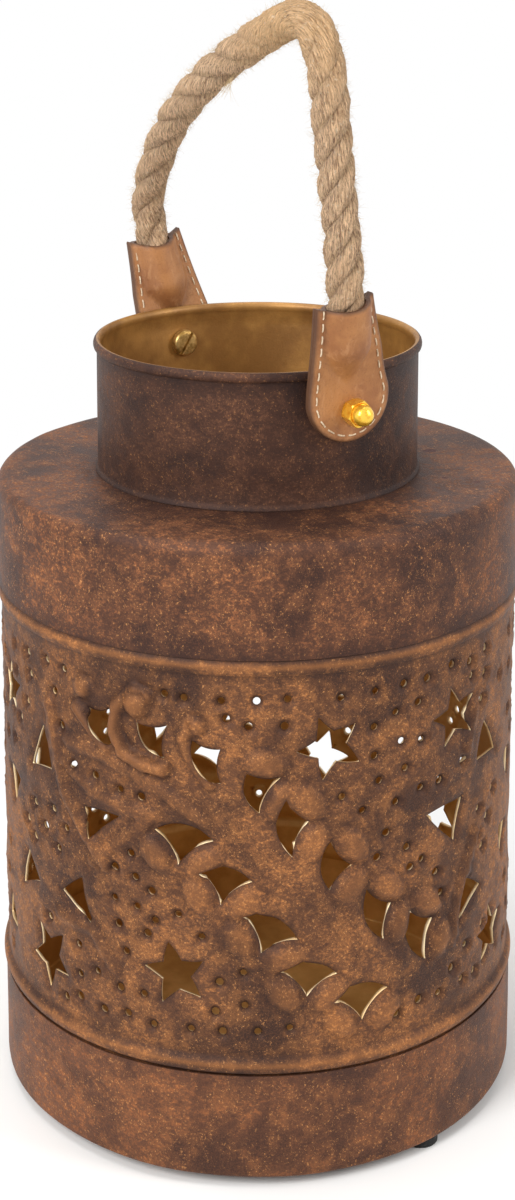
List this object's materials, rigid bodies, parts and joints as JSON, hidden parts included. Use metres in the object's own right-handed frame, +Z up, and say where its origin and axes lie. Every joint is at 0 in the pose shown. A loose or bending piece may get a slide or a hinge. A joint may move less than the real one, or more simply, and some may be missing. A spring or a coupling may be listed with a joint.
{
  "type": "punched tin lantern",
  "caption": "Cylindrical sheet metal lantern with a punched wall, an open round neck, a lift-off base pan and a rope handle on two leather tabs.",
  "frame": {"origin": "on the surface the feet stand on, on the can's vertical axis", "axes": "+Z up along the can's axis, +X along the handle's pivot axis towards the tab that the rope's short upright leg comes out of"},
  "size_m": [0.1816, 0.1816, 0.3881],
  "materials": {
    "sheet_rust": "rusted tinplate with worn bronze paint",
    "foot_rubber": "matt",
    "screw_steel": "dull",
    "nut_brass": "tarnished",
    "rope_jute": "three-strand jute",
    "tab_leather": "smooth, worn at the edges"
  },
  "bodies": {
    "base": {"base_pan": "sheet_rust", "base_feet": "foot_rubber"},
    "can": {"punched_shell": "sheet_rust", "shoulder_cap": "sheet_rust", "neck_collar": "sheet_rust", "pivot_screws": "screw_steel", "cap_nuts": "nut_brass"},
    "handle": {"handle_rope": "rope_jute", "tab_outer_leaves": "tab_leather", "tab_inner_leaves": "tab_leather"}
  },
  "joints": [
    {"name": "can_lift", "type": "slide", "parent": "base", "child": "can", "axis": [0, 0, 1], "range_m": [0, 0.06]},
    {"name": "handle_swing", "type": "hinge", "parent": "can", "child": "handle", "pos_m": [0, 0, 0.2495], "axis": [1, 0, 0], "range_deg": [-116, 96]}
  ]
}
